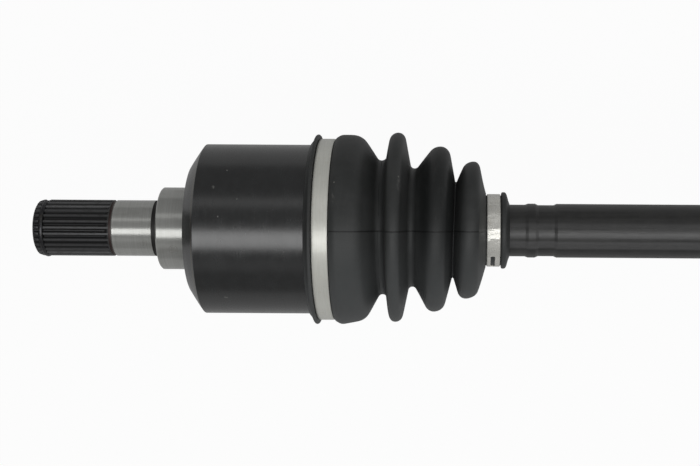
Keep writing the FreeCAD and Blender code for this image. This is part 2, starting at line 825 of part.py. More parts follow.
def clamp(start, length, seat_radius, thickness):
    """A steel band round a boot, with the closed ear that tightens it."""
    inner = seat_radius + seat_clearance
    outer = inner + thickness
    top = outer + ear_height
    band = tube(start, start + length, inner, outer)
    arch = Part.makeBox(length, ear_width, top - inner, Vector(start, -ear_width / 2, inner))
    corner = Vector(start, ear_wall - ear_width / 2, 0)
    hollow = Part.makeBox(length, ear_width - 2 * ear_wall, top - ear_wall, corner)
    ear = arch.cut(hollow).cut(rod(start, start + length, (inner + outer) / 2))
    return turned(band.fuse(ear).removeSplitter(), ear_angle)


def make_boots_and_clamps():
    """A boot over each joint, with a large clamp on the joint and a small one on the bar."""
    ends = {
        "inboard": (inboard_sleeve_start, housing_radius, inboard_rolls, inboard_small_seat),
        "outboard": (outboard_sleeve_start, bell_seat_radius, outboard_rolls, outboard_small_seat),
    }
    large_length = clamp_seat_length - 2 * clamp_margin
    small_length = small_seat_length - 2 * clamp_margin
    for name, (start, seat_radius, rolls, small_seat) in ends.items():
        large_start = start + sleeve_slope + lip_step + lip_width + clamp_margin
        large_seat_radius = seat_radius + clamp_seat_height
        small_start = small_seat + clamp_margin
        pieces = {
            "boot": boot(start, seat_radius, rolls, small_seat),
            "large_clamp": clamp(large_start, large_length, large_seat_radius, large_clamp_thickness),
            "small_clamp": clamp(small_start, small_length, small_seat_radius, small_clamp_thickness),
        }
        for piece, shape in pieces.items():
            if name == "inboard":
                placed = along(housing_mouth, shape)
            else:
                placed = along(ball_x - bell_mouth, turned(shape, 180, UP))
            save(f"{name}_{piece}", placed)


os.makedirs("parts", exist_ok=True)
make_inboard_housing()
make_tripod()
make_spring_and_cup()
make_bar()
make_ball_joint()
make_bell()
make_boots_and_clamps()
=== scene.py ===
import bpy
import math
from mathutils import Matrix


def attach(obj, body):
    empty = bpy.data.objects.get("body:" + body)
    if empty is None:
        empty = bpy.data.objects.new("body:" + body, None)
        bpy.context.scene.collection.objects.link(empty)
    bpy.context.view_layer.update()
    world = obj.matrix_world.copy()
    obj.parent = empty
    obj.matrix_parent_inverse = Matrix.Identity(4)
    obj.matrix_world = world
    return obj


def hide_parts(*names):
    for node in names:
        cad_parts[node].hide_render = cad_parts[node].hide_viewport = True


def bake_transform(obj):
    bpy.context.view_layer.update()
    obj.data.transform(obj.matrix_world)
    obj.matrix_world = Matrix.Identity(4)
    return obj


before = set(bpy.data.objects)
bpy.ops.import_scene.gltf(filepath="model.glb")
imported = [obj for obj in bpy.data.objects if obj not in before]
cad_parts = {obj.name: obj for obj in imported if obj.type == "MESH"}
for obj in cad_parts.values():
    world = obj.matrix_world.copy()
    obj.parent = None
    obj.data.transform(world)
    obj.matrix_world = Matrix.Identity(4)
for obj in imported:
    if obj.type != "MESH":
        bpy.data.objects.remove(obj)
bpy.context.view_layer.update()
MM = 0.001

# Camera and studio, from the photograph's frame: 700 x 466 pixels
PIXEL = 0.48                # mm of the shaft's axis plane that one pixel spans
ORIGIN_PIXEL = 177.0        # the column of the origin
AXIS_ROW = 230.2            # the row of the shaft's axis, below the camera
ABOVE_PIXEL = 470.0         # the column that the camera stands above
FRAME_WIDTH = 700
FRAME_HEIGHT = 466
CAMERA_HEIGHT = 657.6       # above the axis
CAMERA_ROLL = 0.0065
FLOOR = -200.0              # low enough for the bar at the lowest end of its swing

# Places along the shaft, and the seats of boots and clamps
INBOARD_MOUTH = 81.0
OUTBOARD_MOUTH = 400.0
JOINT_SEAT = 40.4
BAR_SEAT = 12.4
FIT = 0.05
PARTING = math.radians(1.4)  # where the boot moulds part, from the top towards -Y


def emptied():
    """Nothing selected, in object mode."""
    bpy.ops.object.select_all(action="DESELECT")


def chosen(piece):
    """Only this piece selected, and active."""
    emptied()
    piece.select_set(True)
    bpy.context.view_layer.objects.active = piece


def finished(name, piece, dress):
    """Names a piece and gives it its material."""
    piece.name = name
    piece.data.name = name
    piece.data.materials.append(dress)
    return piece


def on_photo(column, row, radius):
    """The place on a cylinder round the shaft, in millimetres, that the camera sees at a pixel."""
    height = radius
    for _ in range(6):
        nearness = PIXEL * (CAMERA_HEIGHT - height) / CAMERA_HEIGHT
        across = (AXIS_ROW + (column - ABOVE_PIXEL) * CAMERA_ROLL - row) * nearness
        height = math.sqrt(max(radius ** 2 - across ** 2, 0.0))
    along = (ABOVE_PIXEL - ORIGIN_PIXEL) * PIXEL + (column - ABOVE_PIXEL) * nearness
    return along, across, height


# Shader expressions

class Signal:
    """A node's output that takes part in plain arithmetic; each step adds a Math node."""

    def __init__(self, finish, socket):
        self.finish = finish
        self.socket = socket

    def maths(self, operation, *values):
        return self.finish.node("ShaderNodeMath", {"operation": operation}, dict(enumerate(values)))

    def __add__(self, other):
        return self.maths("ADD", self, other)

    def __sub__(self, other):
        return self.maths("SUBTRACT", self, other)

    def __rsub__(self, other):
        return self.maths("SUBTRACT", other, self)

    def __mul__(self, other):
        return self.maths("MULTIPLY", self, other)

    def __pow__(self, other):
        return self.maths("POWER", self, other)

    def __gt__(self, other):
        return self.maths("GREATER_THAN", self, other)

    def __lt__(self, other):
        return self.maths("LESS_THAN", self, other)

    def __abs__(self):
        return self.maths("ABSOLUTE", self)

    __radd__ = __add__
    __rmul__ = __mul__

    def eased(self, low, high):
        """0 below low and 1 above high, or the other way round where low is the larger."""
        settings = {"interpolation_type": "SMOOTHSTEP"}
        return self.finish.node("ShaderNodeMapRange", settings, {"Value": self, "From Min": low, "From Max": high})

    def between(self, low, high, soft):
        """1 from low to high, with soft edges."""
        return self.eased(low - soft, low + soft) * self.eased(high + soft, high - soft)


class Finish:
    """A material, with the place on the object in millimetres: x, y, z, and radius and angle about the shaft."""

    def __init__(self, name):
        self.material = bpy.data.materials.new(name)
        self.material.use_nodes = True
        self.tree = self.material.node_tree
        self.tree.nodes.clear()
        self.coordinates = self.node("ShaderNodeTexCoord", output="Object")
        parts = self.node("ShaderNodeSeparateXYZ", {}, {0: self.coordinates}).socket.node
        self.x, self.y, self.z = [Signal(self, parts.outputs[axis]) * 1000 for axis in "XYZ"]
        self.radius = (self.y * self.y + self.z * self.z) ** 0.5
        self.angle = self.y.maths("ARCTAN2", self.y, self.z)

    def node(self, kind, settings=None, inputs=None, output=0):
        """One node: its settings first, then the values or links of its sockets."""
        made = self.tree.nodes.new(kind)
        for key, value in (settings or {}).items():
            setattr(made, key, value)
        for key, value in (inputs or {}).items():
            if isinstance(value, Signal):
                self.tree.links.new(value.socket, made.inputs[key])
            else:
                made.inputs[key].default_value = value
        return Signal(self, made.outputs[output]) if made.outputs else None

    def noise(self, scale, detail=3.0, roughness=0.5, distortion=0.0):
        """Smooth noise round 0.5. The scale is in cells per millimetre along x, y and z."""
        stretched = self.node("ShaderNodeMapping", {}, {"Vector": self.coordinates,
                                                        "Scale": [1000 * value for value in scale]})
        inputs = {"Vector": stretched, "Scale": 1.0, "Detail": detail, "Roughness": roughness,
                  "Distortion": distortion}
        return self.node("ShaderNodeTexNoise", {}, inputs)

    def spots(self, scale, size):
        """Small round specks: 1 inside one, 0 elsewhere."""
        stretched = self.node("ShaderNodeMapping", {}, {"Vector": self.coordinates,
                                                        "Scale": [1000 * scale] * 3})
        distance = self.node("ShaderNodeTexVoronoi", {}, {"Vector": stretched, "Scale": 1.0})
        return distance.eased(size, size * 0.6)

    def near(self, place, reach, stretch=1.0):
        """1 at a point of the surface, fading to 0 at reach along the shaft and at stretch times that round it."""
        offsets = [here - there for here, there in zip((self.x, self.y, self.z), place)]
        across = (offsets[1] * offsets[1] + offsets[2] * offsets[2]) * (1 / stretch ** 2)
        return (offsets[0] * offsets[0] + across).eased(reach * reach, reach * reach * 0.1)

    def marks(self, places):
        """Several such spots: (column, row, radius, reach, stretch) each."""
        total = None
        for column, row, radius, reach, stretch in places:
            spot = self.near(on_photo(column, row, radius), reach, stretch)
            total = spot if total is None else total + spot
        return total

    def mix(self, factor, low, high):
        """A colour between two."""
        ends = {0: factor, 6: self.colour(low), 7: self.colour(high)}
        return self.node("ShaderNodeMix", {"data_type": "RGBA"}, ends, output=2)

    @staticmethod
    def layered(start, *layers):
        """(mask, value) layers of numbers over each other."""
        here = start
        for mask, value in layers:
            here = here * (1 - mask) + mask * value
        return here

    @staticmethod
    def colour(value):
        return value if isinstance(value, Signal) else (*value, 1.0)

    def close(self, colour, roughness, metallic, height, specular=0.5):
        """The surface itself. Its relief is in millimetres."""
        bump = self.node("ShaderNodeBump", {}, {"Strength": 1.0, "Distance": MM, "Height": height})
        inputs = {"Base Color": self.colour(colour), "Roughness": roughness, "Metallic": metallic,
                  "Specular IOR Level": specular, "Normal": bump}
        shader = self.node("ShaderNodeBsdfPrincipled", {}, inputs)
        self.node("ShaderNodeOutputMaterial", {}, {"Surface": shader})
        return self.material


def satin_paint(finish, body, turned):
    """Black satin paint over turned steel: its colour, roughness and relief."""
    mottle = finish.noise((0.15, 0.15, 0.15), 4.0, 0.6)
    lines = finish.noise(turned, 3.0, 0.6)
    peel = finish.noise((1.6, 1.6, 1.6), 2.0, 0.5)
    dust = finish.spots(0.4, 0.05) * (mottle > 0.54)
    colour = finish.mix(mottle.eased(0.35, 0.7), body, [channel * 1.7 for channel in body])
    colour = finish.mix(dust * 0.25, colour, (0.12, 0.12, 0.11))
    roughness = 0.25 + (mottle - 0.5) * 0.10 + (lines - 0.5) * 0.12
    return colour, roughness, (peel - 0.5) * 0.006 + (lines - 0.5) * 0.006


def ground_steel(finish):
    """Cylindrically ground steel: fine rings round the shaft."""
    rings = finish.noise((5.0, 0.04, 0.04), 4.0, 0.7)
    clouds = finish.noise((0.12, 0.25, 0.25), 3.0, 0.5)
    smudge = finish.marks([(173.5, 250.0, 19.6, 2.6, 1.6), (142.0, 243.0, 13.35, 3.0, 1.0)]) * clouds.eased(0.3, 0.6)
    colour = finish.mix(rings.eased(0.3, 0.7), (0.37, 0.375, 0.355), (0.46, 0.465, 0.445))
    colour = finish.mix(clouds.eased(0.55, 0.75) * 0.3 + smudge * 0.3, colour, (0.27, 0.265, 0.245))
    return colour, 0.20 + (rings - 0.5) * 0.12 + smudge * 0.1, (rings - 0.5) * 0.004


PAINT = (0.0065, 0.0072, 0.0074)
TRACK_STEEL = (0.16, 0.155, 0.14)


def housing_finish():
    """Painted drum, bare journals and splines, machined tracks inside."""
    finish = Finish("black_housing")
    x, radius = finish.x, finish.radius
    paint, paint_roughness, paint_relief = satin_paint(finish, PAINT, (1.1, 0.05, 0.05))
    steel, steel_roughness, steel_relief = ground_steel(finish)
    stub = x.eased(7.4, 7.0) * radius.eased(20.0, 19.7)
    undercut = x.between(-9.6, -6.3, 0.12) * (radius < 14.6)
    groove = x.between(-29.8, -28.6, 0.12)
    spline = x.eased(-29.7, -29.9)
    inside = (x > 14.0) * radius.eased(39.9, 39.5) + (x > 2.0) * (radius < 11.0)
    chips = finish.marks([
        (196.5, 176.5, 36.0, 0.9, 2.0), (212.8, 187.2, JOINT_SEAT, 0.8, 1.3), (236.5, 199.0, JOINT_SEAT, 0.5, 1.4),
        (217.7, 217.0, JOINT_SEAT, 0.5, 1.0), (226.6, 297.5, JOINT_SEAT, 1.1, 0.8),
        (226.6, 170.4, JOINT_SEAT, 0.5, 1.0)])
    worn = chips * finish.noise((1.1, 1.1, 1.1), 4.0, 0.7).eased(0.42, 0.55)
    flank = radius.eased(13.3, 12.7)
    oxide = finish.noise((0.3, 0.6, 0.6), 4.0, 0.6)
    tooth = finish.mix(flank, (0.085, 0.086, 0.088), (0.026, 0.026, 0.027))
    tooth = finish.mix(oxide.eased(0.5, 0.75) * 0.6, tooth, (0.030, 0.028, 0.026))
    colour = finish.mix(stub, paint, steel)
    for mask, over in ((undercut, (0.010, 0.009, 0.008)), (groove, (0.030, 0.012, 0.009)), (spline, tooth),
                       (inside, TRACK_STEEL), (worn * 0.8, (0.15, 0.15, 0.14))):
        colour = finish.mix(mask, colour, over)
    bare = finish.layered(stub * 0.5, (undercut, 0.4), (groove, 0.3), (spline, 0.7), (inside, 1.0))
    roughness = finish.layered(paint_roughness, (stub, steel_roughness), (undercut, 0.55), (groove, 0.5),
                               (spline, 0.40 + oxide * 0.2), (inside, 0.3))
    relief = paint_relief * (1 - stub) + steel_relief * stub - worn * 0.04
    return finish.close(colour, roughness, bare, relief, specular=1.0)


def bell_finish():
    """The wheel end's bell: painted as the drum is, with a bare stub."""
    finish = Finish("black_bell")
    x, radius = finish.x, finish.radius
    paint, paint_roughness, paint_relief = satin_paint(finish, PAINT, (1.1, 0.05, 0.05))
    steel, steel_roughness, steel_relief = ground_steel(finish)
    stub = x.eased(452.2, 452.6)
    spline = x.between(464.2, 498.5, 0.2)
    thread = x.eased(498.4, 498.8)
    inside = (x < 446.5) * radius.eased(37.9, 37.5)
    oxide = finish.noise((0.3, 0.6, 0.6), 4.0, 0.6)
    colour = finish.mix(stub, paint, steel)
    teeth = finish.mix(radius.eased(13.3, 12.5), (0.10, 0.10, 0.105), (0.03, 0.03, 0.03))
    turns = finish.mix(oxide, (0.16, 0.15, 0.13), (0.26, 0.25, 0.22))
    for mask, over in ((spline, teeth), (thread, turns), (inside, TRACK_STEEL)):
        colour = finish.mix(mask, colour, over)
    bare = finish.layered(stub * 0.5, (inside, 1.0))
    roughness = finish.layered(paint_roughness, (stub, steel_roughness), (spline, 0.34 + oxide * 0.2),
                               (thread, 0.38), (inside, 0.3))
    relief = paint_relief * (1 - stub) + steel_relief * stub
    return finish.close(colour, roughness, bare, relief, specular=1.0)


def bar_finish():
    """The bar: black paint over forged steel, streaked lengthwise, with painted highlights in bands along it, and
    bare splined ends inside the joints.
    """
    finish = Finish("black_bar")
    x, angle = finish.x, finish.angle
    paint, paint_roughness, paint_relief = satin_paint(finish, (0.013, 0.013, 0.0125), (0.12, 0.9, 0.9))
    bare = x.eased(68.0, 66.0) + x.eased(391.0, 393.0)
    grain = finish.noise((0.30, 1.6, 1.6), 4.0, 0.65)
    streaks = finish.noise((0.012, 0.55, 0.55), 3.0, 0.6)
    # Painted highlights: lighter bands at fixed angles round the bar, where the lamps reflect.
    highlight_bands = (angle.between(-0.74, -0.42, 0.06) * 0.8 + angle.between(-0.28, -0.10, 0.05) * 0.45
              + angle.between(0.10, 0.26, 0.06) * 0.35) * (0.6 + grain * 0.8)
    colour = finish.mix(streaks.eased(0.4, 0.65) * 0.5 + grain.eased(0.5, 0.8) * 0.3, paint, (0.030, 0.030, 0.029))
    colour = finish.mix(highlight_bands, colour, (0.085, 0.085, 0.086))
    colour = finish.mix(bare, colour, (0.14, 0.135, 0.12))
    roughness = finish.layered(paint_roughness + 0.16 + (grain - 0.5) * 0.3, (bare, 0.35))
    relief = paint_relief + (grain - 0.5) * 0.035 + (streaks - 0.5) * 0.05
    return finish.close(colour, roughness, bare, relief, specular=0.7)


def rubber_finish():
    """Moulded rubber: matt, finely textured, lighter towards -Y as painted light from the lamps on that side, with
    the mould's parting line.
    """
    finish = Finish("boot_rubber")
    x, radius = finish.x, finish.radius
    cloud = finish.noise((0.05, 0.09, 0.09), 4.0, 0.6)
    grain = finish.noise((2.5, 2.5, 2.5), 3.0, 0.6)
    flow = finish.noise((0.6, 0.12, 0.12), 3.0, 0.5)
    specks = finish.spots(0.3, 0.04) * (cloud > 0.5)
    line = abs(abs(finish.angle + PARTING) - math.pi / 2) - math.pi / 2
    folds = x.between(INBOARD_MOUTH - 4.0, INBOARD_MOUTH + 67.0, 0.2)
    folds = folds + x.between(OUTBOARD_MOUTH - 59.0, OUTBOARD_MOUTH + 2.0, 0.2)
    parting = (abs(line) * radius).eased(0.45, 0.12) * folds
    # Two real scuffs, and at column 465.5, row 291.5 a painted highlight on the lower side of the last crest.
    scuffs_and_highlight = finish.marks([
        (333.0, 196.5, 44.9, 1.1, 3.4), (398.8, 184.0, 45.2, 1.3, 3.2), (465.5, 291.5, 31.0, 2.4, 1.4)])
    nicks = finish.marks([
        (333.8, 182.6, 44.9, 0.5, 1.2), (369.5, 156.2, 42.0, 0.5, 1.2), (398.2, 176.6, 45.2, 0.5, 1.2),
        (315.3, 155.6, 45.2, 0.6, 1.0)])
    colour = finish.mix(cloud.eased(0.3, 0.75), (0.034, 0.036, 0.0355), (0.046, 0.048, 0.0475))
    # Darker over the third crest.
    darker_crest = x.between(INBOARD_MOUTH + 36.5, INBOARD_MOUTH + 52.0, 1.5)
    colour = finish.mix(darker_crest, colour, (0.017, 0.0185, 0.0185))
    # Painted light: the rubber is lightened towards -Y, where the lamps light it more.
    colour = finish.mix(finish.y.eased(8.0, -34.0) * 0.75, colour, (0.092, 0.097, 0.098))
    colour = finish.mix(flow.eased(0.5, 0.8) * 0.25, colour, (0.060, 0.061, 0.060))
    colour = finish.mix(scuffs_and_highlight * finish.noise((0.9, 0.5, 0.5)).eased(0.40, 0.68) * 0.6, colour, (0.12, 0.12, 0.115))
    colour = finish.mix(specks * 0.3 + nicks * 0.8, colour, (0.20, 0.20, 0.18))
    # The parting line is a real groove, given as relief; its darkening here is painted shade.
    colour = finish.mix(parting * 0.8, colour, (0.006, 0.006, 0.006))
    roughness = 0.52 + (cloud - 0.5) * 0.15 + (grain - 0.5) * 0.1
    relief = (grain - 0.5) * 0.018 + (flow - 0.5) * 0.03 - parting * 0.06
    return finish.close(colour, roughness, 0.0, relief, specular=0.35)


def strip_finish(name, low, high, roughness, metallic, dent):
    """Stainless strip, rolled lengthwise, with the dents of its tightening."""
    finish = Finish(name)
    rolled = finish.noise((4.0, 0.08, 0.08), 4.0, 0.7)
    dents = finish.noise((0.14, 0.30, 0.30), 3.0, 0.5)
    stain = finish.noise((0.5, 0.5, 0.5), 4.0, 0.6)
    colour = finish.mix(rolled.eased(0.3, 0.7), low, high)
    colour = finish.mix(stain.eased(0.5, 0.8) * 0.4, colour, [channel * shade for channel, shade in
                                                              zip(low, (0.92, 0.88, 0.80))])
    spread = roughness + (rolled - 0.5) * 0.12 + (stain - 0.5) * 0.12
    return finish.close(colour, spread, metallic, (rolled - 0.5) * 0.006 + (dents - 0.5) * dent)


def machined_finish(name, low, high, roughness):
    """Oiled steel for the pieces inside the joints."""
    finish = Finish(name)
    tool = finish.noise((1.2, 1.2, 1.2), 4.0, 0.6)
    film = finish.noise((0.2, 0.2, 0.2), 3.0, 0.5)
    colour = finish.mix(tool.eased(0.3, 0.7), low, high)
    colour = finish.mix(film.eased(0.55, 0.8) * 0.5, colour, (0.10, 0.085, 0.06))
    return finish.close(colour, roughness + (tool - 0.5) * 0.15, 1.0, (tool - 0.5) * 0.006)


rubber = rubber_finish()
strip = strip_finish("clamp_strip", (0.70, 0.705, 0.65), (0.80, 0.80, 0.74), 0.34, 0.28, 0.06)
crumpled = strip_finish("small_clamp_strip", (0.76, 0.75, 0.70), (0.84, 0.83, 0.78), 0.26, 0.4, 0.55)
bright = machined_finish("bright_steel", (0.46, 0.455, 0.44), (0.58, 0.575, 0.56), 0.18)
hardened = machined_finish("dark_steel", (0.16, 0.16, 0.16), (0.24, 0.24, 0.235), 0.32)
spring_black = machined_finish("spring_steel", (0.05, 0.05, 0.055), (0.09, 0.09, 0.09), 0.35)
dresses = {
    "inboard_housing": housing_finish(), "outboard_bell": bell_finish(), "drive_bar": bar_finish(),
    "spider": hardened, "cage": hardened, "inner_race": hardened,
    "plunge_spring": spring_black, "stub_circlip": spring_black, "spring_cup": spring_black,
    "inboard_large_clamp": strip, "outboard_large_clamp": strip,
    "inboard_small_clamp": crumpled, "outboard_small_clamp": crumpled,
    "inboard_boot": rubber, "outboard_boot": rubber,
}
for name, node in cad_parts.items():
    node.data.materials.clear()
    node.data.materials.append(dresses.get(name, bright))


# Boots: rings extruded one after another along the boot's section, outside and then back inside.
# Distances are from the joint's mouth towards the bar.

WALL = 2.2
CLAMP_SEAT_LENGTH = 8.1
SMALL_SEAT_LENGTH = 7.2


def over(circles):
    """Points along the line that wraps round circles (x, radius, rounding): over them, or under a negative one."""
    leaves = []
    for (x, r, s), (next_x, next_r, next_s) in zip(circles, circles[1:]):
        length = math.hypot(next_x - x, next_r - r)
        leaves.append(math.atan2(next_r - r, next_x - x) - math.asin((s - next_s) / length) + math.pi / 2)
    points = [circles[0][:2]]
    for (x, r, s), arrive, leave in zip(circles[1:-1], leaves, leaves[1:]):
        steps = max(1, math.ceil(abs(leave - arrive) / math.radians(14))) if s else 0
        for step in range(steps + 1):
            turn = arrive + (leave - arrive) * step / max(steps, 1)
            points.append((x + s * math.cos(turn), r + s * math.sin(turn)))
    points.append(circles[-1][:2])
    return points


def boot_section(start, rolls, small_seat):
    """The closed section of a boot, from its large end's bore over its outside and back inside."""
    bore = JOINT_SEAT + FIT
    edge = bore + 1.3
    lip = start + 2.1
    clamp_start = start + 3.6
    clamp_end = clamp_start + CLAMP_SEAT_LENGTH
    small_end = small_seat + SMALL_SEAT_LENGTH
    circles = [(x, JOINT_SEAT + height - rounding, rounding) for x, height, rounding in rolls]
    inner = [(x, JOINT_SEAT + height - rounding, rounding - WALL) for x, height, rounding in rolls[2:]]
    sleeve = [
        (start, bore), (start, edge - 0.35), (start + 0.25, edge), (start + 0.9, edge + 0.7),
        (lip - 0.5, edge + 1.8), (lip - 0.15, JOINT_SEAT + 4.1), (lip + 0.1, JOINT_SEAT + 4.75),
        (lip + 0.5, JOINT_SEAT + 5.05), (clamp_start - 0.5, JOINT_SEAT + 5.05), (clamp_start - 0.1, JOINT_SEAT + 4.8),
        (clamp_start, JOINT_SEAT + 4.4), (clamp_start, JOINT_SEAT + 2.15), (clamp_start + 0.15, JOINT_SEAT + 2.0),
        (clamp_end - 0.15, JOINT_SEAT + 2.0), (clamp_end, JOINT_SEAT + 2.15), (clamp_end, JOINT_SEAT + 3.3),
    ]
    outside = over([(clamp_end, JOINT_SEAT + 3.5, 0)] + circles + [(small_seat - 0.2, BAR_SEAT + 5.7, 0)])
    neck = [
        (small_seat, 5.4), (small_seat, 4.4), (small_seat + 0.15, 4.25), (small_end - 0.15, 4.25), (small_end, 4.4),
        (small_end, 5.3), (small_end + 0.2, 5.8), (small_end + 0.6, 6.0), (small_end + 1.5, 6.0),
        (small_end + 2.2, 5.7), (small_end + 2.7, 4.8), (small_end + 3.1, 3.2), (small_end + 3.6, 1.3),
        (small_end + 4.1, 0.4), (small_end + 4.1, FIT), (small_seat, FIT),
    ]
    neck = [(x, BAR_SEAT + height) for x, height in neck]
    inside = over([(0.3, bore, 0), (4.5, JOINT_SEAT - 4.4, 3.8)] + inner + [(small_seat - 2.2, BAR_SEAT + 2.1, 0)])
    return sleeve + outside + neck + inside[::-1]


def divided(points, longest):
    """The same path, with long runs divided."""
    made = [points[0]]
    for (x, r), (next_x, next_r) in zip(points, points[1:]):
        count = math.ceil(math.hypot(next_x - x, next_r - r) / longest)
        made += [(x + (next_x - x) * k / count, r + (next_r - r) * k / count) for k in range(1, count + 1)]
    return made


def eased_at(x, stations):
    """The value at x, eased between (x, value) stations and 0 outside them."""
    for (low, value), (high, next_value) in zip(stations, stations[1:]):
        if low <= x <= high:
            share = (x - low) / (high - low)
            return value + (next_value - value) * share * share * (3 - 2 * share)
    return 0.0


def moulded(points, mouth, way, leans, shifts):
    """A rubber moulding round the shaft. Its rings lean in degrees and shift towards +Y, as a bent boot's do."""
    (x, radius), *rest = points
    emptied()
    bpy.ops.mesh.primitive_circle_add(vertices=72, radius=radius * MM, location=((mouth + way * x) * MM, 0, 0),
                                      rotation=(0, math.pi / 2, 0))
    piece = bpy.context.object
    bpy.ops.object.transform_apply(location=True, rotation=True, scale=True)
    bpy.ops.object.mode_set(mode="EDIT")
    bpy.ops.mesh.select_all(action="SELECT")
    tilt = shift = 0.0
    for next_x, next_radius in rest:
        next_tilt = math.radians(eased_at(next_x, leans))
        next_shift = eased_at(next_x, shifts)
        step = (way * (next_x - x) * MM, (next_shift - shift) * MM, 0)
        bpy.ops.mesh.extrude_edges_move(TRANSFORM_OT_translate={"value": step})
        centre = ((mouth + way * next_x) * MM, next_shift * MM, 0)
        bpy.ops.transform.resize(value=(next_radius / radius,) * 3, center_override=centre)
        if abs(next_tilt - tilt) > 1e-6:
            bpy.ops.transform.rotate(value=next_tilt - tilt, orient_axis="Z", center_override=centre)
        x, radius, tilt, shift = next_x, next_radius, next_tilt, next_shift
    bpy.ops.mesh.select_mode(type="EDGE")
    bpy.ops.mesh.select_all(action="DESELECT")
    bpy.ops.mesh.select_non_manifold()
    bpy.ops.mesh.bridge_edge_loops()
    bpy.ops.mesh.select_all(action="SELECT")
    bpy.ops.mesh.normals_make_consistent(inside=False)
    bpy.ops.object.mode_set(mode="OBJECT")
    smoothed(piece)
    return piece


def smoothed(piece):
    """One step of subdivision, and smooth shading."""
    chosen(piece)
    smooth = piece.modifiers.new("Subdivision", "SUBSURF")
    smooth.levels = smooth.render_levels = 1
    bpy.ops.object.modifier_apply(modifier=smooth.name)
    bpy.ops.object.shade_smooth()


def cut_at(piece, x, keep_low):
    """Cuts a moulding square across at x and closes the cut."""
    chosen(piece)
    bpy.ops.object.mode_set(mode="EDIT")
    bpy.ops.mesh.select_mode(type="EDGE")
    bpy.ops.mesh.select_all(action="SELECT")
    bpy.ops.mesh.bisect(plane_co=(x * MM, 0, 0), plane_no=(1, 0, 0), clear_outer=keep_low, clear_inner=not keep_low)
    bpy.ops.mesh.select_all(action="DESELECT")
    bpy.ops.mesh.select_non_manifold()
    bpy.ops.mesh.bridge_edge_loops()
    bpy.ops.object.mode_set(mode="OBJECT")


def joined_boot(node, whole, names, stations):
    """Divides a boot at its inner stations into lengths."""
    for index, (name, low, high) in enumerate(zip(names, stations, stations[1:])):
        chosen(whole)
        bpy.ops.object.duplicate()
        piece = bpy.context.object
        if index > 0:
            cut_at(piece, low, False)
        if index < len(names) - 1:
            cut_at(piece, high, True)
        finished(name, piece, rubber)
        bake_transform(piece)
        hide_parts(node)
    bpy.data.objects.remove(whole)


INBOARD_ROLLS = [(-0.6, 5.0, 4.0), (4.4, 4.4, 7.5), (17.6, -8.3, -2.4), (24.7, 5.0, 3.4), (32.6, -12.0, -2.1),
                 (43.9, -0.7, 5.2), (52.1, -17.4, -0.4), (59.4, -7.4, 4.8)]
OUTBOARD_ROLLS = [(1.5, 5.0, 4.0), (6.5, 4.4, 7.5), (19.5, -7.9, -2.0), (26.0, 2.1, 3.8), (32.6, -12.9, -2.0),
                  (39.8, -4.9, 3.8), (45.6, -18.9, -1.0), (51.2, -12.4, 3.4)]
LEANS = [(0.4, 0.0), (4.4, -1.4), (17.6, -0.75), (24.7, 0.6), (32.6, 0.7), (43.9, 2.1), (52.1, 1.7), (59.4, 3.0),
         (66.5, 0.0)]
SHIFTS = [(0.4, 0.0), (4.4, 0.6), (17.6, 1.1), (24.7, 1.2), (32.6, 1.1), (43.9, 0.45), (52.1, 0.1), (66.5, 0.0)]

section = divided(boot_section(-15.8, INBOARD_ROLLS, 67.2), 4.0)
joined_boot(
    "inboard_boot", moulded(section, INBOARD_MOUTH, 1, LEANS, SHIFTS),
    ["inboard_boot_drum", "inboard_boot_folds", "inboard_boot_neck"],
    [INBOARD_MOUTH + distance for distance in (2.0, 17.6, 52.1, 67.2)])

section = divided(boot_section(-13.7, OUTBOARD_ROLLS, 59.5), 4.0)
joined_boot(
    "outboard_boot", moulded(section, OUTBOARD_MOUTH, -1, [], []),
    ["outboard_boot_neck", "outboard_boot_middle", "outboard_boot_fold", "outboard_boot_drum"],
    [OUTBOARD_MOUTH - distance for distance in (59.5, 32.6, 26.0, 19.5, 0.5)])


# Clamps: a strip laid round its seat, up into the ear that tightens it and on as a tail over its own start

EAR = 130.0                 # from the top
EAR_HEIGHT = 3.2
EAR_HALF_WIDTH = 2.3
TAIL_GAP = 0.03


def strip_path(inner, thickness, step, foot, tail):
    """(angle from the top, radius) along the middle of the strip. The ear's feet are foot degrees from its middle."""
    low = inner + thickness / 2
    high = low + thickness + TAIL_GAP
    top = inner + thickness * 1.5 + EAR_HEIGHT
    count = round((360 - 2 * foot) / step)
    path = [(EAR + foot + index * step, low) for index in range(count + 1)]
    for across, radius in ((-1.0, high + 0.5), (-1.0, top - 0.7), (-0.7, top), (0.7, top), (1.0, top - 0.7),
                           (1.0, high + 0.8)):
        path.append((EAR + math.degrees(across * EAR_HALF_WIDTH / radius), radius))
    path += [(EAR + foot + index * step, high) for index in range(round(tail / step) + 1)]
    return path


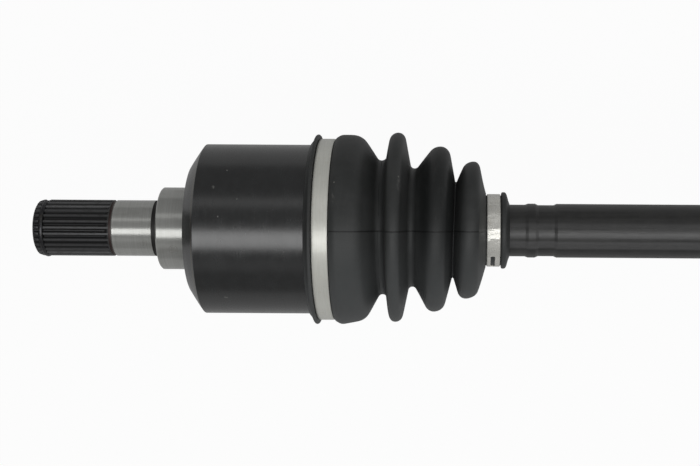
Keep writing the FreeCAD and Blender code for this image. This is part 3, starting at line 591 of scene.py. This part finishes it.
def strip_clamp(name, body, start, inner, thickness, length, way, dress, ribbon, slot=None):
    """A steel strip clamp in place of the CAD's band. The slot is its ends along the shaft and round it."""
    emptied()
    points = [(-way * radius * math.sin(math.radians(angle)), radius * math.cos(math.radians(angle)))
              for angle, radius in strip_path(inner, thickness, *ribbon)]
    (y, z), *rest = points
    bpy.ops.mesh.primitive_plane_add(size=length * MM, location=((start + length / 2) * MM, 0, 0))
    piece = bpy.context.object
    bpy.ops.object.transform_apply(location=True, rotation=True, scale=True)
    bpy.ops.object.mode_set(mode="EDIT")
    bpy.ops.mesh.select_mode(type="VERT")
    bpy.ops.mesh.select_all(action="DESELECT")
    bpy.ops.object.mode_set(mode="OBJECT")
    for vertex in piece.data.vertices:
        vertex.select = vertex.co.y > 0
    bpy.ops.object.mode_set(mode="EDIT")
    bpy.ops.mesh.delete(type="VERT")
    bpy.ops.mesh.select_all(action="SELECT")
    bpy.ops.transform.translate(value=(0, (y + length / 2) * MM, z * MM))
    for next_y, next_z in rest:
        bpy.ops.mesh.extrude_edges_move(TRANSFORM_OT_translate={"value": (0, (next_y - y) * MM, (next_z - z) * MM)})
        y, z = next_y, next_z
    bpy.ops.mesh.select_all(action="SELECT")
    bpy.ops.mesh.normals_make_consistent(inside=False)
    if slot:
        (slot_start, slot_end), (first, last) = slot
        for x in (slot_start, slot_end):
            bpy.ops.mesh.select_all(action="SELECT")
            bpy.ops.mesh.bisect(plane_co=(x * MM, 0, 0), plane_no=(1, 0, 0))
        bpy.ops.mesh.select_mode(type="FACE")
        bpy.ops.mesh.select_all(action="DESELECT")
        bpy.ops.object.mode_set(mode="OBJECT")
        for face in piece.data.polygons:
            angle = math.degrees(math.atan2(-face.center.y, face.center.z))
            face.select = slot_start < face.center.x / MM < slot_end and first < angle < last
        bpy.ops.object.mode_set(mode="EDIT")
        bpy.ops.mesh.delete(type="FACE")
    bpy.ops.object.mode_set(mode="OBJECT")
    wall = piece.modifiers.new("Solidify", "SOLIDIFY")
    wall.thickness = thickness * MM
    wall.offset = 0
    edge = piece.modifiers.new("Bevel", "BEVEL")
    edge.width = 0.16 * MM
    edge.segments = 1
    edge.angle_limit = math.radians(50)
    for modifier in (wall, edge):
        bpy.ops.object.modifier_apply(modifier=modifier.name)
    smoothed(piece)
    finished(f"{name}_strip", piece, dress)
    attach(piece, body)
    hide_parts(name)


LARGE = dict(inner=42.45, thickness=0.95, length=7.3, dress=strip, ribbon=(4.0, 4.0, 24.0))
SMALL = dict(inner=16.7, thickness=0.75, length=6.4, dress=crumpled, ribbon=(6.0, 12.0, 54.0))
strip_clamp("inboard_large_clamp", "housing", INBOARD_MOUTH - 11.8, way=1, **LARGE)
strip_clamp("inboard_small_clamp", "shaft", INBOARD_MOUTH + 67.6, way=1, slot=((150.5, 152.4), (46.0, 88.0)), **SMALL)
strip_clamp("outboard_large_clamp", "bell", OUTBOARD_MOUTH + 9.7 - 7.3, way=-1, **LARGE)
strip_clamp("outboard_small_clamp", "shaft", OUTBOARD_MOUTH - 59.9 - 6.4, way=-1, **SMALL)


# Plunge spring: the CAD's coil, copied with its doubled points merged

emptied()
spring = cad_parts["plunge_spring"].copy()
spring.data = spring.data.copy()
spring.parent = None
spring.matrix_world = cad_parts["plunge_spring"].matrix_world
bpy.context.scene.collection.objects.link(spring)
chosen(spring)
bpy.ops.object.mode_set(mode="EDIT")
bpy.ops.mesh.select_all(action="SELECT")
bpy.ops.mesh.remove_doubles(threshold=0.001 * MM)
bpy.ops.object.mode_set(mode="OBJECT")
spring.data.materials.clear()
finished("plunge_spring_coil", spring, spring_black)
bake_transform(spring)
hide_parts("plunge_spring")


# Studio: lamps and distances in metres, angles in degrees

LAMP_X = 0.15
LAMP_DISTANCE = 1.2
LAMP_LENGTH = 1.5
WORLD_STRENGTH = 0.22
FLOOR_SIZE = 6.0
FLOOR_PALE = (0.92, 0.92, 0.92, 1.0)
FLOOR_SEEN = 0.95           # how much of the floor that a camera sees is plain white, the rest being lit
FLOOR_REFLECTED = 0.42      # the floor's white in reflections
SENSOR_WIDTH = 36.0


def lamp(name, angle, spread, radiance):
    """A soft box over the shaft, at an angle from straight above towards +Y, and as wide as its spread."""
    angle = math.radians(angle)
    width = 2 * LAMP_DISTANCE * math.tan(math.radians(spread) / 2)
    made = soft_box(name, LAMP_LENGTH, width, radiance)
    made.location = (LAMP_X, LAMP_DISTANCE * math.sin(angle), LAMP_DISTANCE * math.cos(angle))
    made.rotation_euler = (-angle, 0, 0)


def soft_box(name, length, width, radiance):
    """A rectangular lamp of that radiance."""
    data = bpy.data.lights.new(name, "AREA")
    data.shape = "RECTANGLE"
    data.size = length
    data.size_y = width
    data.energy = radiance * math.pi * length * width
    made = bpy.data.objects.new(name, data)
    bpy.context.scene.collection.objects.link(made)
    return made


lamp("key", -14.5, 22.5, 2.5)
lamp("fill", 34.5, 12, 0.45)
lamp("side", -50, 14, 0.15)
right = soft_box("right", 0.7, 0.9, 1.2)
right.location = (1.3, -0.2, 1.1)
right.rotation_euler = (0, math.radians(47), 0)

world = bpy.data.worlds.new("studio")
bpy.context.scene.world = world
world.use_nodes = True
background = world.node_tree.nodes["Background"]
background.inputs["Color"].default_value = (1.0, 1.0, 1.0, 1.0)
background.inputs["Strength"].default_value = WORLD_STRENGTH
shown_world = world.node_tree.nodes.new("ShaderNodeBackground")
shown_world.inputs["Color"].default_value = (1.0, 1.0, 1.0, 1.0)
either = world.node_tree.nodes.new("ShaderNodeMixShader")
world_rays = world.node_tree.nodes.new("ShaderNodeLightPath")
world.node_tree.links.new(world_rays.outputs["Is Camera Ray"], either.inputs[0])
world.node_tree.links.new(background.outputs[0], either.inputs[1])
world.node_tree.links.new(shown_world.outputs[0], either.inputs[2])
world.node_tree.links.new(either.outputs[0], world.node_tree.nodes["World Output"].inputs["Surface"])

emptied()
bpy.ops.mesh.primitive_plane_add(size=FLOOR_SIZE, location=(0.2, 0, FLOOR * MM))
floor = bpy.context.object
floor.name = "floor"
paper = Finish("white_paper")
rays = paper.node("ShaderNodeLightPath").socket.node
seen = [Signal(paper, rays.outputs[kind]) for kind in ("Is Camera Ray", "Is Glossy Ray", "Is Transmission Ray")]
shown = (seen[0] + seen[1] + seen[2]) > 0.5
lit = paper.node("ShaderNodeBsdfDiffuse", {}, {"Color": FLOOR_PALE})
reflected = paper.mix(seen[0], (FLOOR_REFLECTED,) * 3, (1.0, 1.0, 1.0))
white = paper.node("ShaderNodeEmission", {}, {"Color": reflected, "Strength": 1.0})
both = paper.node("ShaderNodeMixShader", {}, {0: shown * FLOOR_SEEN, 1: lit, 2: white})
paper.node("ShaderNodeOutputMaterial", {}, {"Surface": both})
floor.data.materials.append(paper.material)

camera_data = bpy.data.cameras.new("camera")
camera_data.sensor_width = SENSOR_WIDTH
camera_data.lens = camera_data.sensor_width * CAMERA_HEIGHT / (FRAME_WIDTH * PIXEL)
camera_data.shift_x = (FRAME_WIDTH / 2 - ABOVE_PIXEL) / FRAME_WIDTH
camera = bpy.data.objects.new("camera", camera_data)
camera.location = ((ABOVE_PIXEL - ORIGIN_PIXEL) * PIXEL * MM, (AXIS_ROW - FRAME_HEIGHT / 2) * PIXEL * MM,
                   CAMERA_HEIGHT * MM)
camera.rotation_euler = (0, 0, CAMERA_ROLL)
bpy.context.scene.collection.objects.link(camera)
bpy.context.scene.camera = camera
bpy.context.scene.view_settings.view_transform = "Standard"
